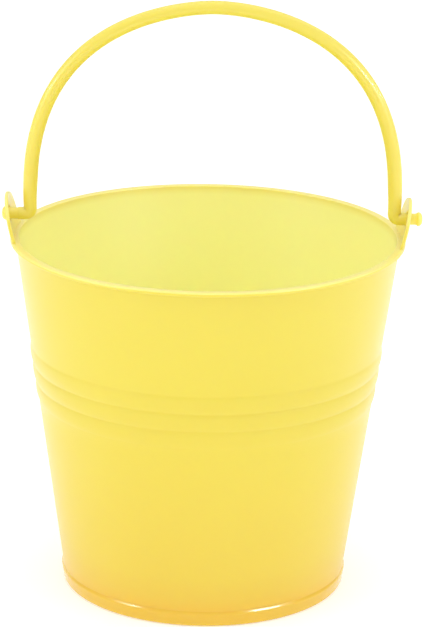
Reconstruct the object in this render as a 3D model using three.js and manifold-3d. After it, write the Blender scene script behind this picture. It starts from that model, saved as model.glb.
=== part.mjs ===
// A child's sand bucket: a tapered, injection-moulded pail with two ears on its rim,
// and a moulded bail handle whose pegs turn in the ears.
// Millimetres, +Z up. The origin is on the pail's axis, in the plane it stands on.
// The ears are at +X and -X, and the bail stands upright in the XZ plane.

import * as THREE from 'three';
import { mergeVertices } from 'three/addons/utils/BufferGeometryUtils.js';
import Module from 'manifold-3d';

const wasm = await Module();
wasm.setup();

// Pail: the outside of the wall is a cone between the foot ring and the rim flange.
const HEIGHT = 137.4;
const RIM_RADIUS = 75;
const FLANGE_THICKNESS = 1.6;
const WALL_THICKNESS = 1.4;
const WALL_TOP_RADIUS = 72.8;
const WALL_FOOT_RADIUS = 54.8;

// Foot ring: a shallow band that stands proud of the wall, over a recessed base.
const FOOT_HEIGHT = 6.2;
const FOOT_RADIUS = 55.3;
const FOOT_BASE_RADIUS = 54.7;
const FOOT_EDGE_RADIUS = 1.1;
const FOOT_SHOULDER_ARC = 75;
const RECESS_RADIUS = 51.2;
const RECESS_DEPTH = 2.2;
const BASE_THICKNESS = 1.6;
const FLOOR_FILLET = 4;

// Three half-round beads run round the wall, edge to edge.
const BEAD_COUNT = 3;
const BEAD_PITCH = 7.1;
const BEAD_RISE = 0.6;
const TOP_BEAD_Z = 91.9;

// Ears: half discs that follow the rim's curve. They lean out at the foot and curl back
// towards the upright at the top.
const EAR_RADIUS = 15.2;
const EAR_THICKNESS = 1.3;
const EAR_ROOT_RADIUS = 74.8;
const EAR_LEAN = 0.3;
const EAR_CURL = 0.0105;
const EAR_SINK = 1.2;
const PIVOT_Z = 145;
const HOLE_RADIUS = 3.1;

// Bail: a round-section arch that thickens towards its legs. It has side play in the
// ears and lies over against the +X one.
const BAIL_OFFSET = 1.5;
const BAIL_HALF_SPAN = 68.4;
const BAIL_CROWN_Z = 225.3;
const BAIL_CROWN_HANDLE = 5.4;
const BAIL_SHOULDER_HANDLE = 74.8;
const BAIL_SHOULDER_Z = 224.1;
const BAIL_CROWN_RADIUS = 2.56;
const BAIL_LEG_RADIUS = 2.82;
const PEG_RADIUS = 2.4;
const PEG_NECK_RADIUS = 2.16;
const PEG_HEAD_RADIUS = 2.72;
const PEG_NECK_START = 73.6;
const PEG_NECK_END = 77.2;
const PEG_STEP = 0.4;
const PEG_HEAD_RISE = 0.7;
const PEG_HEAD_ROUND = 1.2;
const PEG_TIP = 79.6;

const LATHE_SEGMENTS = 72;
const ARC_STEPS = 4;
const BEAD_STEPS = 6;
const EAR_STEPS = 24;
const EAR_BAND_STEPS = 6;
const ARCH_STEPS = 56;
const ARCH_SIDES = 12;
const PEG_SEGMENTS = 20;
const WELD_DISTANCE = 1e-4;
const CUT_MARGIN = 1;

const wallRadiusAt = (z) => THREE.MathUtils.mapLinear(
  z, FOOT_HEIGHT, HEIGHT - FLANGE_THICKNESS, WALL_FOOT_RADIUS, WALL_TOP_RADIUS);

// Turns a closed geometry into a solid that can be joined and cut.
function solidOf(geometry) {
  const bare = geometry.clone();
  bare.deleteAttribute('normal');
  bare.deleteAttribute('uv');
  const merged = mergeVertices(bare, WELD_DISTANCE);
  const index = merged.index.array;
  const triangles = [];
  for (let i = 0; i < index.length; i += 3) {
    const [a, b, c] = [index[i], index[i + 1], index[i + 2]];
    if (a !== b && b !== c && c !== a) {
      triangles.push(a, b, c);
    }
  }
  return new wasm.Manifold(new wasm.Mesh({
    numProp: 3,
    vertProperties: new Float32Array(merged.attributes.position.array),
    triVerts: new Uint32Array(triangles),
  }));
}

function geometryOf(solid) {
  const mesh = solid.getMesh();
  const geometry = new THREE.BufferGeometry();
  geometry.setAttribute('position', new THREE.BufferAttribute(mesh.vertProperties, 3));
  geometry.setIndex(new THREE.BufferAttribute(mesh.triVerts, 1));
  geometry.computeVertexNormals();
  return geometry;
}

// Turns a profile of (radius, height) points about the Z axis.
function turned(profile, segments) {
  return new THREE.LatheGeometry(profile, segments).rotateX(Math.PI / 2);
}

// Points on a circular arc, in degrees, both ends included.
function arc(centreRadius, centreZ, radius, from, to, steps) {
  const points = [];
  for (let i = 0; i <= steps; i += 1) {
    const angle = THREE.MathUtils.degToRad(from + (to - from) * i / steps);
    points.push(new THREE.Vector2(
      centreRadius + radius * Math.cos(angle),
      centreZ + radius * Math.sin(angle)));
  }
  return points;
}

// The outside of the three beads, from the lowest crease to the highest.
function beadProfile() {
  const points = [];
  const lowest = TOP_BEAD_Z - (BEAD_COUNT - 0.5) * BEAD_PITCH;
  for (let i = 0; i <= BEAD_COUNT * BEAD_STEPS; i += 1) {
    const z = lowest + BEAD_PITCH * i / BEAD_STEPS;
    const across = (i % BEAD_STEPS) / BEAD_STEPS * 2 - 1;
    points.push(new THREE.Vector2(wallRadiusAt(z) + BEAD_RISE * (1 - across * across), z));
  }
  return points;
}

function pailBody() {
  const edge = FOOT_EDGE_RADIUS;
  const lip = FLANGE_THICKNESS / 2;
  const floor = RECESS_DEPTH + BASE_THICKNESS;
  const innerTop = wallRadiusAt(HEIGHT) - WALL_THICKNESS;
  const innerFoot = wallRadiusAt(floor + FLOOR_FILLET) - WALL_THICKNESS;
  const profile = [
    new THREE.Vector2(0, RECESS_DEPTH),
    new THREE.Vector2(RECESS_RADIUS, RECESS_DEPTH),
    new THREE.Vector2(RECESS_RADIUS, 0),
    ...arc(FOOT_BASE_RADIUS - edge, edge, edge, -90, 0, ARC_STEPS),
    ...arc(FOOT_RADIUS - edge, FOOT_HEIGHT - edge, edge, 0, FOOT_SHOULDER_ARC, ARC_STEPS),
    new THREE.Vector2(WALL_FOOT_RADIUS, FOOT_HEIGHT),
    ...beadProfile(),
    new THREE.Vector2(WALL_TOP_RADIUS, HEIGHT - FLANGE_THICKNESS),
    ...arc(RIM_RADIUS - lip, HEIGHT - lip, lip, -90, 90, ARC_STEPS),
    new THREE.Vector2(innerTop, HEIGHT),
    ...arc(innerFoot - FLOOR_FILLET, floor + FLOOR_FILLET, FLOOR_FILLET, 0, -90, ARC_STEPS),
    new THREE.Vector2(0, floor),
  ];
  return solidOf(turned(profile, LATHE_SEGMENTS));
}

// Both ears at once: a leaning band round the rim, kept only inside a half disc that is
// seen along X, then drilled for the pegs.
function ears() {
  const bottom = HEIGHT - EAR_SINK;
  const top = HEIGHT + EAR_RADIUS + CUT_MARGIN;
  const outer = [];
  for (let i = 0; i <= EAR_BAND_STEPS; i += 1) {
    const z = THREE.MathUtils.lerp(bottom, top, i / EAR_BAND_STEPS);
    const rise = z - HEIGHT;
    outer.push(new THREE.Vector2(EAR_ROOT_RADIUS + EAR_LEAN * rise - EAR_CURL * rise ** 2, z));
  }
  const inner = outer.map((point) => new THREE.Vector2(point.x - EAR_THICKNESS, point.y));
  const band = [inner[0], ...outer, ...inner.reverse()];
  const below = -EAR_SINK - CUT_MARGIN;
  const outline = new THREE.Shape();
  outline.moveTo(EAR_RADIUS, below);
  outline.lineTo(EAR_RADIUS, 0);
  outline.absarc(0, 0, EAR_RADIUS, 0, Math.PI, false);
  outline.lineTo(-EAR_RADIUS, below);
  const span = 2 * (RIM_RADIUS + EAR_RADIUS);
  const disc = new THREE.ExtrudeGeometry(outline, {
    depth: span,
    bevelEnabled: false,
    curveSegments: EAR_STEPS,
  });
  disc.rotateX(Math.PI / 2).rotateZ(Math.PI / 2).translate(-span / 2, 0, HEIGHT);
  const drill = new THREE.CylinderGeometry(HOLE_RADIUS, HOLE_RADIUS, span, PEG_SEGMENTS);
  drill.rotateZ(Math.PI / 2).translate(0, 0, PIVOT_Z);
  const leaning = solidOf(turned(band, LATHE_SEGMENTS));
  return leaning.intersect(solidOf(disc)).subtract(solidOf(drill));
}

// The bail's centre line, over the crown from the -X pivot to the +X one.
function archPath() {
  const shoulder = (side) => new THREE.Vector3(side * BAIL_SHOULDER_HANDLE, 0, BAIL_SHOULDER_Z);
  const crownHandle = (side) => new THREE.Vector3(side * BAIL_CROWN_HANDLE, 0, BAIL_CROWN_Z);
  const pivot = (side) => new THREE.Vector3(side * BAIL_HALF_SPAN, 0, PIVOT_Z);
  const crown = new THREE.Vector3(0, 0, BAIL_CROWN_Z);
  const path = new THREE.CurvePath();
  path.add(new THREE.CubicBezierCurve3(pivot(-1), shoulder(-1), crownHandle(-1), crown));
  path.add(new THREE.CubicBezierCurve3(crown, crownHandle(1), shoulder(1), pivot(1)));
  return path;
}

// A straight round rod, bent along the centre line and thinned towards the crown.
function arch() {
  const path = archPath();
  const rod = new THREE.CylinderGeometry(1, 1, 1, ARCH_SIDES, ARCH_STEPS);
  const position = rod.attributes.position;
  for (let i = 0; i < position.count; i += 1) {
    const along = position.getY(i) + 0.5;
    const fromCrown = Math.abs(2 * along - 1);
    const radius = THREE.MathUtils.lerp(BAIL_CROWN_RADIUS, BAIL_LEG_RADIUS, fromCrown);
    const centre = path.getPoint(along);
    const tangent = path.getTangent(along);
    const across = position.getX(i) * radius;
    position.setXYZ(i,
      centre.x - across * tangent.z,
      position.getZ(i) * radius,
      centre.z + across * tangent.x);
  }
  return solidOf(rod);
}

// The rounded elbow at the foot of a leg, and the peg that points outward from it.
function pegEnd(side) {
  const round = PEG_HEAD_ROUND;
  const profile = [
    new THREE.Vector2(0, BAIL_HALF_SPAN),
    new THREE.Vector2(PEG_RADIUS, BAIL_HALF_SPAN),
    new THREE.Vector2(PEG_RADIUS, PEG_NECK_START - PEG_STEP),
    new THREE.Vector2(PEG_NECK_RADIUS, PEG_NECK_START),
    new THREE.Vector2(PEG_NECK_RADIUS, PEG_NECK_END),
    new THREE.Vector2(PEG_HEAD_RADIUS, PEG_NECK_END + PEG_HEAD_RISE),
    ...arc(PEG_HEAD_RADIUS - round, PEG_TIP - round, round, 0, 90, ARC_STEPS),
    new THREE.Vector2(0, PEG_TIP),
  ];
  const peg = solidOf(new THREE.LatheGeometry(profile, PEG_SEGMENTS).rotateZ(-Math.PI / 2));
  const elbow = new THREE.SphereGeometry(BAIL_LEG_RADIUS, PEG_SEGMENTS, ARCH_SIDES);
  elbow.rotateX(Math.PI / 2).translate(BAIL_HALF_SPAN, 0, 0);
  const turn = side > 0 ? 0 : 180;
  return peg.add(solidOf(elbow)).rotate([0, 0, turn]).translate([0, 0, PIVOT_Z]);
}

function part(name, solid, material) {
  const mesh = new THREE.Mesh(geometryOf(solid), material);
  mesh.name = name;
  return mesh;
}

const pailPlastic = new THREE.MeshStandardMaterial({ color: 0xf9e669, roughness: 0.28, metalness: 0 });
const bailPlastic = new THREE.MeshStandardMaterial({ color: 0xf7e45c, roughness: 0.3, metalness: 0 });

const bucket = new THREE.Group();
bucket.add(part('pail', pailBody().add(ears()), pailPlastic));

const bail = part('bail_handle', arch().add(pegEnd(-1)).add(pegEnd(1)), bailPlastic);
bail.position.x = BAIL_OFFSET;
bucket.add(bail);

export default bucket;
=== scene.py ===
"""A yellow moulded sand bucket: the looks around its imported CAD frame."""

import math

import bpy
import numpy as np
from mathutils import Matrix, Vector


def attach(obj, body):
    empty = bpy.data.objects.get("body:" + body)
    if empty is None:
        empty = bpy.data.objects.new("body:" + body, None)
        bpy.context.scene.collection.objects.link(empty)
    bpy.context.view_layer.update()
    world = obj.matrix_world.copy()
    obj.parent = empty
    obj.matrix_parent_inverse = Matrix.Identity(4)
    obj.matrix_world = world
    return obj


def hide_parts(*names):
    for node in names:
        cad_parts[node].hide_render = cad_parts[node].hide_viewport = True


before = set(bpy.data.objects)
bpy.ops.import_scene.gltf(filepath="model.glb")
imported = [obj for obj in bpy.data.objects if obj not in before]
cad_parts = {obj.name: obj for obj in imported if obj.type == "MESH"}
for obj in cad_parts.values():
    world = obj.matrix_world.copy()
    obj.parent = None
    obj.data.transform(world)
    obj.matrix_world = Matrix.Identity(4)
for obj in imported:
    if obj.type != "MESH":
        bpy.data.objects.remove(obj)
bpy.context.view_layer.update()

MM = 0.001
TAU = 2 * math.pi

# ---------------------------------------------------------------- sizes, in mm

# Pail. The outside of the wall is a cone between the foot ring and the rim flange.
HEIGHT = 137.4
RIM_RADIUS = 75
FLANGE_THICKNESS = 1.6
FLANGE_FILLET = 0.7
LIP_FLAT = 0.6
INNER_LIP_ROUND = 0.5
WALL_THICKNESS = 1.4
WALL_TOP_RADIUS = 72.8
WALL_FOOT_RADIUS = 54.8
FOOT_HEIGHT = 6.2
FOOT_RADIUS = 55.3
FOOT_BASE_RADIUS = 54.7
FOOT_HEEL = 1.1
FOOT_BLEND_START = 4.9
FOOT_BLEND_END = 6.4
FOOT_BLEND_STEPS = 14
RECESS_RADIUS = 51.2
RECESS_DEPTH = 2.2
RECESS_ROUND = 0.5
BASE_THICKNESS = 1.6
FLOOR_FILLET = 4
PAIL_SEGMENTS = 320
SHARP_ANGLE = 40

# Beads: the heights of the creases round them and how far each rises over the wall, from the top.
BEAD_CREASES = (95.45, 88.35, 81.25, 74.15)
BEAD_RISES = (0.6, 0.62, 0.55)
BEAD_SQUARENESS = 2.3
BEAD_STEPS = 18

# Where a straight stretch starts, as a small (radius, height) step past the heel, the foot's shoulder,
# the top crease and the inside's top corner.
HEEL_LEAD = (0.1, 0.8)
WALL_LEAD = (0.05, 0.6)
CREASE_LEAD = (0.12, 0.8)
INNER_LEAD = (-0.1, -1.5)

# Gaps in the profile: inward of the floor's fillet, below the beads, and below the flange's fillet as a
# multiple of its radius. The flat faces have their innermost ring of corners at CENTRE_RING.
FLOOR_LEAD = 3
BELOW_BEADS = 1
FILLET_LEAD = 1.2
CENTRE_RING = 4

# Ears: plates a little fuller than half discs, leaning out and bent to the rim's curve.
EAR_HEIGHT = 15.2
EAR_HALF_WIDTH = 15.3
EAR_FULLNESS = 2.3
EAR_THICKNESS = 1.3
EAR_EDGE_ROUND = 0.3
EAR_ROOT_RADIUS = 74.8
EAR_LEAN = 0.3
EAR_CURL = 0.0105
EAR_SINK = 1.0
EAR_ROOT_FLARE = 0.55
EAR_FLARE_HEIGHT = 1.6
EAR_BASE_STEPS = 14
EAR_SIDE_STEPS = 4
EAR_ARCH_STEPS = 64
EAR_EDGE_STEPS = 5
EAR_FACE_SHARES = (0.25, 0.5, 0.75)
PIVOT_Z = 145
HOLE_RADIUS = 3.1
HOLE_ROUND = 0.25
HOLE_STEPS = 3

# Bail.
BAIL_OFFSET = 1.5
BAIL_HALF_SPAN = 68.4
BAIL_CROWN_Z = 225.3
BAIL_CROWN_HANDLE = 5.4
BAIL_SHOULDER_HANDLE = 74.8
BAIL_SHOULDER_Z = 224.1
BAIL_CROWN_RADIUS = 2.56
BAIL_LEG_RADIUS = 2.82
BAIL_ELBOW = 2.3
BAIL_ELBOW_STEPS = 12
ELBOW_HANDLE = 0.35
LEG_NARROWING = 0.34
LEG_NARROWING_REACH = 16
BAIL_STEPS = 110
BAIL_MEASURE_STEPS = 400
BAIL_RING = 48
PEG_RADIUS = 2.4
PEG_NECK_RADIUS = 2.16
PEG_HEAD_RADIUS = 2.72
PEG_NECK_START = 73.6
PEG_NECK_END = 77.2
PEG_NECK_FLARE = 0.08
PEG_NECK_SLOPE = 0.4
PEG_NECK_ROUND = 0.15
PEG_NECK_MARGIN = 0.5
PEG_HEAD_RISE = 0.8
PEG_HEAD_STEPS = 6
PEG_TIP = 79.6
PEG_TIP_ROUND = 2.1
PEG_TIP_FLAT = 0.6
PEG_TIP_STEPS = 10


def wall_radius(z):
    share = (z - FOOT_HEIGHT) / (HEIGHT - FLANGE_THICKNESS - FOOT_HEIGHT)
    return WALL_FOOT_RADIUS + share * (WALL_TOP_RADIUS - WALL_FOOT_RADIUS)


# ---------------------------------------------------------------- mesh helpers


def smooth(share):
    """Eases from 0 to 1, level at both ends."""
    return share * share * (3 - 2 * share)


def shifted(point, step):
    return (point[0] + step[0], point[1] + step[1])


def arc(cx, cy, radius, start, end, steps):
    """Points on an arc, in degrees, both ends included."""
    points = []
    for i in range(steps + 1):
        a = math.radians(start + (end - start) * i / steps)
        points.append((cx + radius * math.cos(a), cy + radius * math.sin(a)))
    return points


def line(start, end, steps):
    """Points from start to end, without the end."""
    return [
        (start[0] + (end[0] - start[0]) * i / steps, start[1] + (end[1] - start[1]) * i / steps)
        for i in range(steps)
    ]


def mesh_object(name, verts, faces):
    """A smooth-shaded object from vertices in mm."""
    mesh = bpy.data.meshes.new(name)
    mesh.from_pydata([Vector(v) * MM for v in verts], [], faces)
    mesh.validate()
    shade(mesh)
    obj = bpy.data.objects.new(name, mesh)
    bpy.context.scene.collection.objects.link(obj)
    return obj


def shade(mesh):
    mesh.shade_smooth()
    mesh.set_sharp_from_angle(angle=math.radians(SHARP_ANGLE))


def lathe(profile, segments):
    """A closed solid turned about Z from a (radius, height) profile that starts and ends on the axis."""
    inner = profile[1:-1]
    verts = []
    for i in range(segments):
        a = TAU * i / segments
        verts += [(r * math.cos(a), r * math.sin(a), z) for r, z in inner]
    n = len(inner)
    first, last = len(verts), len(verts) + 1
    verts += [(0, 0, profile[0][1]), (0, 0, profile[-1][1])]
    faces = []
    for i in range(segments):
        a, b = i * n, (i + 1) % segments * n
        faces.append((first, b, a))
        faces += [(a + k, b + k, b + k + 1, a + k + 1) for k in range(n - 1)]
        faces.append((last, a + n - 1, b + n - 1))
    return verts, faces


def signed_volume(verts, faces):
    v = [Vector(p) for p in verts]
    total = 0.0
    for f in faces:
        for i in range(1, len(f) - 1):
            total += v[f[0]].dot(v[f[i]].cross(v[f[i + 1]])) / 6
    return total


def outward(verts, faces):
    """The same faces, turned to face outward."""
    if signed_volume(verts, faces) < 0:
        faces = [tuple(reversed(f)) for f in faces]
    return verts, faces


def unite(target, others):
    """Joins closed solids into target with an exact boolean."""
    for other in others:
        step = target.modifiers.new("unite", "BOOLEAN")
        step.operation = "UNION"
        step.solver = "EXACT"
        step.object = other
    depsgraph = bpy.context.evaluated_depsgraph_get()
    joined = bpy.data.meshes.new_from_object(target.evaluated_get(depsgraph))
    target.modifiers.clear()
    old = target.data
    target.data = joined
    bpy.data.meshes.remove(old)
    for other in others:
        bpy.data.objects.remove(other)
    shade(joined)


# ---------------------------------------------------------------- pail


def bead_profile():
    """The outside of the three beads, upward, each a low hump between two creases."""
    points = []
    creases = BEAD_CREASES[::-1]
    for low, high, rise in zip(creases, creases[1:], BEAD_RISES[::-1]):
        for i in range(BEAD_STEPS):
            share = i / BEAD_STEPS
            z = low + (high - low) * share
            hump = rise * (1 - abs(2 * share - 1) ** BEAD_SQUARENESS)
            points.append((wall_radius(z) + hump, z))
    points.append((wall_radius(creases[-1]), creases[-1]))
    return points


def foot_shoulder():
    """The glossy shoulder where the foot ring eases into the wall, upward."""
    points = []
    for i in range(FOOT_BLEND_STEPS + 1):
        share = i / FOOT_BLEND_STEPS
        z = FOOT_BLEND_START + share * (FOOT_BLEND_END - FOOT_BLEND_START)
        points.append((FOOT_RADIUS + smooth(share) * (wall_radius(z) - FOOT_RADIUS), z))
    return points


def base_and_foot_profile():
    """From the underside's centre out over the recess and round the foot ring."""
    recess = RECESS_ROUND
    profile = [(0, RECESS_DEPTH)]
    profile += line((CENTRE_RING, RECESS_DEPTH), (RECESS_RADIUS - recess, RECESS_DEPTH), steps=8)
    profile += arc(RECESS_RADIUS - recess, RECESS_DEPTH - recess, recess, 90, 0, steps=4)
    profile += arc(RECESS_RADIUS + recess, recess, recess, 180, 270, steps=4)
    profile += arc(FOOT_BASE_RADIUS - FOOT_HEEL, FOOT_HEEL, FOOT_HEEL, -90, 0, steps=7)
    heel_top = shifted((FOOT_BASE_RADIUS, FOOT_HEEL), HEEL_LEAD)
    profile += line(heel_top, (FOOT_RADIUS, FOOT_BLEND_START), steps=3)
    return profile + foot_shoulder()


def wall_and_rim_profile():
    """Up the outside of the wall, over its beads, and round the flange."""
    lip = FLANGE_THICKNESS / 2
    under = HEIGHT - FLANGE_THICKNESS
    wall_start = shifted((wall_radius(FOOT_BLEND_END), FOOT_BLEND_END), WALL_LEAD)
    below_beads = BEAD_CREASES[-1] - BELOW_BEADS
    above_beads = shifted((wall_radius(BEAD_CREASES[0]), BEAD_CREASES[0]), CREASE_LEAD)
    fillet_foot = under - FLANGE_FILLET * FILLET_LEAD
    profile = line(wall_start, (wall_radius(below_beads), below_beads), steps=18)
    profile += bead_profile()
    profile += line(above_beads, (wall_radius(fillet_foot), fillet_foot), steps=12)
    profile += arc(WALL_TOP_RADIUS + FLANGE_FILLET, under - FLANGE_FILLET, FLANGE_FILLET, 176, 90, steps=6)
    profile += arc(RIM_RADIUS - lip, HEIGHT - lip, lip, -90, 90, steps=14)
    return profile


def inside_profile():
    """Over the flange's flat top, down the inside of the wall and in across the floor."""
    floor = RECESS_DEPTH + BASE_THICKNESS
    lip_end = RIM_RADIUS - FLANGE_THICKNESS / 2 - LIP_FLAT
    inner_top = wall_radius(HEIGHT) - WALL_THICKNESS
    inner_foot = wall_radius(floor + FLOOR_FILLET) - WALL_THICKNESS
    round_in = INNER_LIP_ROUND
    profile = line((lip_end, HEIGHT), (inner_top + round_in, HEIGHT), steps=3)
    profile += arc(inner_top + round_in, HEIGHT - round_in, round_in, 90, 180, steps=5)
    profile += line(shifted((inner_top, HEIGHT), INNER_LEAD), (inner_foot, floor + FLOOR_FILLET), steps=28)
    profile += arc(inner_foot - FLOOR_FILLET, floor + FLOOR_FILLET, FLOOR_FILLET, 0, -90, steps=10)
    profile += line((inner_foot - FLOOR_FILLET - FLOOR_LEAD, floor), (CENTRE_RING, floor), steps=8)
    return profile + [(CENTRE_RING, floor), (0, floor)]


def ear_outline():
    """(y, z) points anticlockwise from the bottom middle, with outward normals; the base has none."""
    bottom = HEIGHT - EAR_SINK
    width = EAR_HALF_WIDTH
    points = [((width * i / EAR_BASE_STEPS, bottom), (0, 0)) for i in range(EAR_BASE_STEPS)]
    for i in range(EAR_SIDE_STEPS):
        points.append(((width, bottom + EAR_SINK * i / EAR_SIDE_STEPS), (1, 0)))
    for i in range(EAR_ARCH_STEPS):
        a = math.pi * i / EAR_ARCH_STEPS
        across = math.copysign(abs(math.cos(a)) ** (2 / EAR_FULLNESS), math.cos(a))
        rise = math.sin(a) ** (2 / EAR_FULLNESS)
        slope = np.array([
            math.copysign(abs(across) ** (EAR_FULLNESS - 1), across) / width,
            rise ** (EAR_FULLNESS - 1) / EAR_HEIGHT,
        ])
        points.append(((across * width, HEIGHT + rise * EAR_HEIGHT), slope / np.linalg.norm(slope)))
    for i in range(EAR_SIDE_STEPS + 1):
        points.append(((-width, HEIGHT - EAR_SINK * i / EAR_SIDE_STEPS), (-1, 0)))
    for i in range(1, EAR_BASE_STEPS):
        points.append(((-width + width * i / EAR_BASE_STEPS, bottom), (0, 0)))
    return [(np.array(point), np.array(normal, float)) for point, normal in points]


def ear_rings():
    """Loops of (y, z, depth): over the outer face, round the edge, over the inner face, through the hole."""
    outline = ear_outline()
    centre = np.array([0.0, PIVOT_Z])
    edge, rounding = EAR_EDGE_ROUND, HOLE_ROUND

    def on_hole(point, offset):
        away = point - centre
        return centre + away / np.linalg.norm(away) * (HOLE_RADIUS + offset)

    def face_ring(share, depth):
        loop = []
        for point, normal in outline:
            inner = on_hole(point, rounding)
            loop.append((*(inner + (point - normal * edge - inner) * share), depth))
        return loop

    def edge_ring(inset, depth):
        return [(*(point - normal * inset), depth) for point, normal in outline]

    def hole_ring(offset, depth):
        return [(*on_hole(point, offset), depth) for point, _ in outline]

    def quarter(steps):
        """How far a quarter round has turned, as (1 - sine, 1 - cosine)."""
        for i in range(steps + 1):
            a = math.radians(90 * i / steps)
            yield 1 - math.sin(a), 1 - math.cos(a)

    thick = EAR_THICKNESS
    rings = [face_ring(share, 0) for share in EAR_FACE_SHARES]
    rings += [edge_ring(edge * s, edge * c) for s, c in quarter(EAR_EDGE_STEPS)]
    rings += [edge_ring(edge * c, thick - edge * s) for s, c in quarter(EAR_EDGE_STEPS)]
    rings += [face_ring(share, thick) for share in reversed(EAR_FACE_SHARES)]
    rings += [hole_ring(rounding * s, thick - rounding * c) for s, c in quarter(HOLE_STEPS)]
    rings += [hole_ring(rounding * c, rounding * s) for s, c in quarter(HOLE_STEPS)]
    return rings


def ear_solid(side):
    """One ear as a closed ring of quads round its peg hole, bent to the rim and flared at its root."""
    rings = ear_rings()
    verts = []
    for loop in rings:
        for y, z, depth in loop:
            rise = z - HEIGHT
            near_root = max(0.0, 1 - rise / EAR_FLARE_HEIGHT) if rise > 0 else 0.0
            inward = near_root**2 * EAR_ROOT_FLARE if depth > EAR_THICKNESS / 2 else 0.0
            r = EAR_ROOT_RADIUS + EAR_LEAN * rise - EAR_CURL * rise**2 - depth - inward
            x = math.sqrt(max(r * r - y * y, 0.0))
            verts.append((side * x, side * y, z))
    total, count = len(rings), len(rings[0])
    faces = []
    for j in range(total):
        here, ahead = j * count, (j + 1) % total * count
        for k in range(count):
            after = (k + 1) % count
            faces.append((here + k, ahead + k, ahead + after, here + after))
    return verts, faces


def make_pail():
    profile = base_and_foot_profile() + wall_and_rim_profile() + inside_profile()
    pail = mesh_object("pail_shell", *outward(*lathe(profile, PAIL_SEGMENTS)))
    ears = [mesh_object(f"ear_{i}", *outward(*ear_solid(side))) for i, side in enumerate((1, -1))]
    unite(pail, ears)
    return pail


# ---------------------------------------------------------------- bail


def cubic(p, t):
    a, b, c, d = (np.array(q, float) for q in p)
    s = 1 - t
    return a * s**3 + 3 * b * s * s * t + 3 * c * s * t * t + d * t**3


def arch_path():
    """Half the arch as (x, z, radius), from the crown to where the +X elbow starts to turn."""
    handles = [
        (0.0, BAIL_CROWN_Z),
        (BAIL_CROWN_HANDLE, BAIL_CROWN_Z),
        (BAIL_SHOULDER_HANDLE, BAIL_SHOULDER_Z),
        (BAIL_HALF_SPAN, PIVOT_Z),
    ]
    dense = [cubic(handles, i / BAIL_MEASURE_STEPS) for i in range(BAIL_MEASURE_STEPS + 1)]
    lengths = np.concatenate([[0], np.cumsum([np.linalg.norm(b - a) for a, b in zip(dense, dense[1:])])])
    total = lengths[-1]
    path = []
    for i in range(BAIL_STEPS + 1):
        at = (total - BAIL_ELBOW) * i / BAIL_STEPS
        x = np.interp(at, lengths, [p[0] for p in dense])
        z = np.interp(at, lengths, [p[1] for p in dense])
        radius = BAIL_CROWN_RADIUS + at / total * (BAIL_LEG_RADIUS - BAIL_CROWN_RADIUS)
        # Near the elbow the leg thins on its inner side only.
        near = min(max(1 - (total - at) / LEG_NARROWING_REACH, 0), 1)
        thin = LEG_NARROWING * smooth(near)
        path.append((x + thin, z, radius - thin))
    return path


def elbow_path(start):
    """From the leg's direction to the peg's."""
    x, z, radius = start
    corner_x = BAIL_HALF_SPAN + LEG_NARROWING
    handle = ELBOW_HANDLE * BAIL_ELBOW
    handles = [
        (x, z),
        (corner_x, PIVOT_Z + handle),
        (corner_x + handle, PIVOT_Z),
        (corner_x + BAIL_ELBOW, PIVOT_Z),
    ]
    path = []
    for i in range(1, BAIL_ELBOW_STEPS + 1):
        t = i / BAIL_ELBOW_STEPS
        p = cubic(handles, t)
        path.append((p[0], p[1], radius + (PEG_RADIUS - radius) * t))
    return path


def peg_path():
    """The peg's neck, the swell of its snap head and the rounded tip."""
    flared = PEG_NECK_RADIUS + PEG_NECK_FLARE
    path = [
        (PEG_NECK_START - PEG_NECK_SLOPE, PIVOT_Z, PEG_RADIUS),
        (PEG_NECK_START - PEG_NECK_ROUND, PIVOT_Z, PEG_RADIUS - PEG_NECK_FLARE),
        (PEG_NECK_START, PIVOT_Z, PEG_NECK_RADIUS),
        (PEG_NECK_START + PEG_NECK_MARGIN, PIVOT_Z, PEG_NECK_RADIUS),
        (PEG_NECK_END - PEG_NECK_MARGIN, PIVOT_Z, PEG_NECK_RADIUS),
        (PEG_NECK_END, PIVOT_Z, flared),
    ]
    for i in range(1, PEG_HEAD_STEPS):
        share = i / PEG_HEAD_STEPS
        swell = flared + smooth(share) * (PEG_HEAD_RADIUS - flared)
        path.append((PEG_NECK_END + share * PEG_HEAD_RISE, PIVOT_Z, swell))
    tip = PEG_TIP - PEG_NECK_END - PEG_HEAD_RISE
    for i in range(PEG_TIP_STEPS):
        a = math.radians(90 * i / PEG_TIP_STEPS)
        radius = PEG_HEAD_RADIUS - PEG_TIP_ROUND * (1 - math.cos(a))
        path.append((PEG_TIP - tip + tip * math.sin(a), PIVOT_Z, radius))
    return path + [(PEG_TIP, PIVOT_Z, PEG_TIP_FLAT)]


def tube(path, ring):
    """A closed round tube along (x, z, radius) points in the XZ plane."""
    verts, faces = [], []
    points = [np.array(p[:2]) for p in path]
    count = len(path)
    for i, (x, z, radius) in enumerate(path):
        tangent = points[min(i + 1, count - 1)] - points[max(i - 1, 0)]
        tangent = tangent / np.linalg.norm(tangent)
        normal = np.array([-tangent[1], tangent[0]])
        for k in range(ring):
            a = TAU * k / ring
            off = normal * radius * math.cos(a)
            verts.append((x + off[0], radius * math.sin(a), z + off[1]))
    for i in range(count - 1):
        for k in range(ring):
            a, b = i * ring + k, i * ring + (k + 1) % ring
            faces.append((a, b, b + ring, a + ring))
    first, last = len(verts), len(verts) + 1
    verts += [(path[0][0], 0, path[0][1]), (path[-1][0], 0, path[-1][1])]
    end = (count - 1) * ring
    for k in range(ring):
        faces.append((first, (k + 1) % ring, k))
        faces.append((last, end + k, end + (k + 1) % ring))
    return verts, faces


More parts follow.
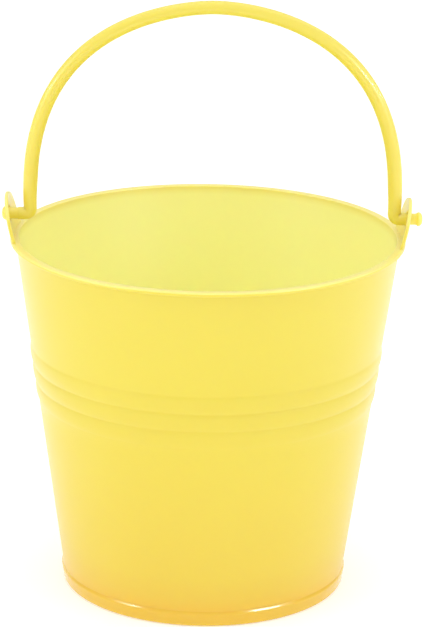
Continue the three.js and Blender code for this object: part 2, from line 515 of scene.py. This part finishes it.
def make_bail():
    """Arch, elbows and pegs as one swept body, from the -X peg's tip to the +X one."""
    arch = arch_path()
    right = arch + elbow_path(arch[-1]) + peg_path()
    path = [(-x, z, r) for x, z, r in reversed(right[1:])] + right
    bail = mesh_object("bail_grip", *outward(*tube(path, BAIL_RING)))
    bail.data.transform(Matrix.Translation((BAIL_OFFSET * MM, 0, 0)))
    return bail


# ---------------------------------------------------------------- materials

ROUGH_LOW = 0.3
ROUGH_HIGH = 0.4
COAT_WEIGHT = 0.25
COAT_ROUGHNESS = 0.08
POLISHED = 0.4
POLISH_FADE = 1
PLASTIC_IOR = 1.5
SCATTER_WEIGHT = 0.6
SCATTER_RADIUS = (1.0, 0.8, 0.25)
CLOUD_SCALE = 18
CLOUD_DETAIL = 2
CLOUD_LOW = 0.3
CLOUD_HIGH = 0.7
CLOUD_TINT = (0.985, 0.98, 0.95, 1)
GRAIN_SCALE = 90
GRAIN_DETAIL = 3
GRAIN_STRENGTH = 0.12
GRAIN_DEPTH = 0.4
FLOOR_MIN_UP = 0.7
FLANGE_TOP_MIN_UP = 0.5


def principled(name):
    material = bpy.data.materials.new(name)
    material.use_nodes = True
    nodes, links = material.node_tree.nodes, material.node_tree.links
    return material, nodes, links, nodes["Principled BSDF"]


def srgb(r, g, b):
    """Linear colour from 8-bit sRGB, by the standard curve."""
    def channel(c):
        c /= 255
        return c / 12.92 if c <= 0.04045 else ((c + 0.055) / 1.055) ** 2.4

    return (channel(r), channel(g), channel(b), 1)


def noise(nodes, links, coords, scale, detail):
    node = nodes.new("ShaderNodeTexNoise")
    node.inputs["Scale"].default_value = scale
    node.inputs["Detail"].default_value = detail
    links.new(coords.outputs["Object"], node.inputs["Vector"])
    return node.outputs["Fac"]


def height_colour(nodes, links, height, stops):
    """The colour at a height, from (height in mm, colour) stops."""
    low, high = stops[0][0], stops[-1][0]
    share = nodes.new("ShaderNodeMapRange")
    share.inputs["From Min"].default_value = low * MM
    share.inputs["From Max"].default_value = high * MM
    links.new(height, share.inputs["Value"])
    ramp = nodes.new("ShaderNodeValToRGB")
    ramp.color_ramp.interpolation = "B_SPLINE"
    elements = ramp.color_ramp.elements
    while len(elements) > 1:
        elements.remove(elements[-1])
    for i, (z, colour) in enumerate(stops):
        at = (z - low) / (high - low)
        element = elements[0] if i == 0 else elements.new(at)
        element.position = at
        element.color = colour
    links.new(share.outputs[0], ramp.inputs[0])
    return ramp.outputs["Color"]


def clouded(nodes, links, colour, cloud):
    """The colour with the faint cloudiness of moulded plastic."""
    tint = nodes.new("ShaderNodeValToRGB")
    tint.color_ramp.elements[0].position = CLOUD_LOW
    tint.color_ramp.elements[0].color = CLOUD_TINT
    tint.color_ramp.elements[1].position = CLOUD_HIGH
    tint.color_ramp.elements[1].color = (1, 1, 1, 1)
    links.new(cloud, tint.inputs[0])
    vary = nodes.new("ShaderNodeMix")
    vary.data_type = "RGBA"
    vary.blend_type = "MULTIPLY"
    vary.inputs["Factor"].default_value = 1.0
    links.new(colour, vary.inputs[6])
    links.new(tint.outputs["Color"], vary.inputs[7])
    return vary.outputs[2]


def roughness(nodes, links, height, cloud, polished_below):
    """Roughness that varies with the clouds, and is lower on the polished foot."""
    gloss = nodes.new("ShaderNodeMapRange")
    gloss.inputs["To Min"].default_value = ROUGH_LOW
    gloss.inputs["To Max"].default_value = ROUGH_HIGH
    links.new(cloud, gloss.inputs["Value"])
    polish = nodes.new("ShaderNodeMapRange")
    polish.inputs["From Min"].default_value = polished_below * MM
    polish.inputs["From Max"].default_value = (polished_below + POLISH_FADE) * MM
    polish.inputs["To Min"].default_value = POLISHED
    links.new(height, polish.inputs["Value"])
    rough = nodes.new("ShaderNodeMath")
    rough.operation = "MULTIPLY"
    links.new(gloss.outputs[0], rough.inputs[0])
    links.new(polish.outputs[0], rough.inputs[1])
    return rough.outputs[0]


def plastic(name, stops, depth, polished_below=0):
    """Glossy translucent polyethylene: stops are (height in mm, colour), depth is how far light scatters."""
    material, nodes, links, shader = principled(name)
    coords = nodes.new("ShaderNodeTexCoord")
    split = nodes.new("ShaderNodeSeparateXYZ")
    links.new(coords.outputs["Object"], split.inputs[0])
    height = split.outputs["Z"]
    cloud = noise(nodes, links, coords, CLOUD_SCALE, CLOUD_DETAIL)
    colour = clouded(nodes, links, height_colour(nodes, links, height, stops), cloud)
    links.new(colour, shader.inputs["Base Color"])
    links.new(roughness(nodes, links, height, cloud, polished_below), shader.inputs["Roughness"])
    shader.inputs["Coat Weight"].default_value = COAT_WEIGHT
    shader.inputs["Coat Roughness"].default_value = COAT_ROUGHNESS
    shader.inputs["IOR"].default_value = PLASTIC_IOR
    shader.inputs["Subsurface Weight"].default_value = SCATTER_WEIGHT
    shader.inputs["Subsurface Radius"].default_value = SCATTER_RADIUS
    shader.inputs["Subsurface Scale"].default_value = depth * MM
    bump = nodes.new("ShaderNodeBump")
    bump.inputs["Strength"].default_value = GRAIN_STRENGTH
    bump.inputs["Distance"].default_value = GRAIN_DEPTH * MM
    links.new(noise(nodes, links, coords, GRAIN_SCALE, GRAIN_DETAIL), bump.inputs["Height"])
    links.new(bump.outputs["Normal"], shader.inputs["Normal"])
    return material


# Painted shade and the plastic's own tone: the outside darkens and turns amber towards the foot, partly the
# thicker plastic there and partly painted shade where less light reaches near the floor.
def pail_plastic():
    return plastic(
        "pail_plastic",
        [
            (0, srgb(232, 194, 58)),
            (6, srgb(231, 191, 59)),
            (11, srgb(226, 196, 64)),
            (20, srgb(226, 201, 67)),
            (72, srgb(226, 210, 69)),
            (105, srgb(226, 210, 72)),
            (135, srgb(226, 211, 76)),
            (138, srgb(229, 212, 88)),
            (155, srgb(229, 213, 86)),
        ],
        depth=3,
        polished_below=5.4,
    )


# Painted light: the bail's colour is paler towards its elbows and pegs, lifting the shade that falls on the
# elbows beside the ears.
def bail_plastic():
    return plastic(
        "bail_plastic",
        [
            (140, srgb(246, 226, 108)),
            (150, srgb(241, 222, 98)),
            (165, srgb(232, 215, 89)),
            (230, srgb(225, 211, 88)),
        ],
        depth=7,
    )


def painted_light_inside_plastic():
    """The same plastic, painted paler for the inside faces: painted light that stands in for the light held
    between the walls, and paler the deeper it goes.
    """
    return plastic(
        "pail_plastic_inside_painted_light",
        [
            (0, srgb(255, 251, 182)),
            (134, srgb(255, 251, 172)),
            (138, srgb(229, 211, 98)),
            (155, srgb(240, 228, 130)),
        ],
        depth=3,
    )


def paint_pail(pail):
    """One material outside; the other, the paler copy carrying painted light, inside, on the flange's top
    and on the ears' inner faces.
    """
    materials = pail.data.materials
    materials.clear()
    materials.append(pail_plastic())
    materials.append(painted_light_inside_plastic())
    floor_z = (RECESS_DEPTH + BASE_THICKNESS / 2) * MM
    under_flange = (HEIGHT - FLANGE_THICKNESS) * MM
    for face in pail.data.polygons:
        up, place = face.normal.z, face.center
        faces_inward = face.normal.x * place.x + face.normal.y * place.y < 0
        inner_floor = up > FLOOR_MIN_UP and math.hypot(place.x, place.y) < RECESS_RADIUS * MM
        flange_top = up > FLANGE_TOP_MIN_UP and place.z > under_flange
        if place.z > floor_z and (faces_inward or inner_floor or flange_top):
            face.material_index = 1


# ---------------------------------------------------------------- build

pail = make_pail()
paint_pail(pail)
bail = make_bail()
bail.data.materials.append(bail_plastic())

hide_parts("pail")
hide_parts("bail_handle")
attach(pail, "pail")
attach(bail, "bail")

# ---------------------------------------------------------------- stage, light and camera

FLOOR_HALF_SIZE = 15
FLOOR_DROP = 0.0002
FLOOR_GREY = 0.8
FLOOR_ROUGHNESS = 0.9
FLOOR_GLOW = 0.34
SKY_HORIZON = 0.5
SKY_ZENITH_RISE = 1.25
SKY_POWER = 2
BUCKET_MIDDLE = (0, 0, 0.08)
FOOT_MIDDLE = (0, 0, 0)
CAMERA_TARGET = Vector((2.2, 0, 106.264)) * MM
CAMERA_DISTANCE = 1167.4 * MM
CAMERA_PITCH = math.radians(17.617)
CAMERA_ROLL = math.radians(0.904)
CAMERA_LENS = 175.19656
CLIP_NEAR = 0.05
CLIP_FAR = 50


def make_floor():
    s = FLOOR_HALF_SIZE
    mesh = bpy.data.meshes.new("floor")
    mesh.from_pydata([(-s, -s, 0), (s, -s, 0), (s, s, 0), (-s, s, 0)], [], [(0, 1, 2, 3)])
    floor = bpy.data.objects.new("floor", mesh)
    bpy.context.scene.collection.objects.link(floor)
    floor.location.z = -FLOOR_DROP
    material, _, _, shader = principled("floor_white")
    shader.inputs["Base Color"].default_value = (FLOOR_GREY, FLOOR_GREY, FLOOR_GREY, 1)
    shader.inputs["Roughness"].default_value = FLOOR_ROUGHNESS
    shader.inputs["Emission Color"].default_value = (1, 1, 1, 1)
    shader.inputs["Emission Strength"].default_value = FLOOR_GLOW
    mesh.materials.append(material)
    return floor


def make_sky():
    """White all round, brighter towards the zenith."""
    world = bpy.data.worlds.new("studio")
    bpy.context.scene.world = world
    world.use_nodes = True
    nodes, links = world.node_tree.nodes, world.node_tree.links
    direction = nodes.new("ShaderNodeTexCoord")
    split = nodes.new("ShaderNodeSeparateXYZ")
    links.new(direction.outputs["Generated"], split.inputs[0])
    above = nodes.new("ShaderNodeMath")
    above.operation = "MAXIMUM"
    above.inputs[1].default_value = 0
    links.new(split.outputs["Z"], above.inputs[0])
    rise = nodes.new("ShaderNodeMath")
    rise.operation = "POWER"
    rise.inputs[1].default_value = SKY_POWER
    links.new(above.outputs[0], rise.inputs[0])
    strength = nodes.new("ShaderNodeMath")
    strength.operation = "MULTIPLY_ADD"
    strength.inputs[1].default_value = SKY_ZENITH_RISE
    strength.inputs[2].default_value = SKY_HORIZON
    links.new(rise.outputs[0], strength.inputs[0])
    background = nodes["Background"]
    background.inputs["Color"].default_value = (1, 1, 1, 1)
    links.new(strength.outputs[0], background.inputs["Strength"])


def soft_light(name, place, aim, size, power, glints_only=False):
    """A rectangular light; with glints_only it shows in glossy reflections and adds no diffuse light."""
    data = bpy.data.lights.new(name, "AREA")
    data.shape = "RECTANGLE"
    data.size, data.size_y = size
    data.energy = power
    light = bpy.data.objects.new(name, data)
    light.location = place
    light.visible_diffuse = not glints_only
    light.rotation_mode = "QUATERNION"
    light.rotation_quaternion = (Vector(aim) - Vector(place)).to_track_quat("-Z", "Y")
    bpy.context.scene.collection.objects.link(light)


def make_camera():
    """Looks along +Y and down by the pitch, at the target, with a slight roll."""
    data = bpy.data.cameras.new("camera")
    data.lens = CAMERA_LENS
    data.clip_start = CLIP_NEAR
    data.clip_end = CLIP_FAR
    camera = bpy.data.objects.new("camera", data)
    bpy.context.scene.collection.objects.link(camera)
    forward = Vector((0, math.cos(CAMERA_PITCH), -math.sin(CAMERA_PITCH)))
    level_up = Vector((0, math.sin(CAMERA_PITCH), math.cos(CAMERA_PITCH)))
    level_right = Vector((1, 0, 0))
    right = math.cos(CAMERA_ROLL) * level_right + math.sin(CAMERA_ROLL) * level_up
    up = math.cos(CAMERA_ROLL) * level_up - math.sin(CAMERA_ROLL) * level_right
    turn = Matrix((right, up, -forward)).transposed().to_4x4()
    camera.matrix_world = Matrix.Translation(CAMERA_TARGET - forward * CAMERA_DISTANCE) @ turn
    bpy.context.scene.camera = camera


floor = make_floor()
make_sky()
soft_light("left", (-1.0, -0.6, 0.5), BUCKET_MIDDLE, (0.5, 0.8), 2.2)
soft_light("right", (1.0, -0.5, 0.45), BUCKET_MIDDLE, (0.5, 0.8), 1.6)
soft_light("glint_right", (0.86, -0.67, 0.5), FOOT_MIDDLE, (0.5, 0.1), 6, glints_only=True)
soft_light("glint_left", (-1.02, -0.37, 0.5), FOOT_MIDDLE, (0.7, 0.05), 3, glints_only=True)
soft_light("glint_side", (1.08, 0.13, 0.5), FOOT_MIDDLE, (0.18, 0.1), 2, glints_only=True)
make_camera()
bpy.context.scene.view_settings.view_transform = "Standard"
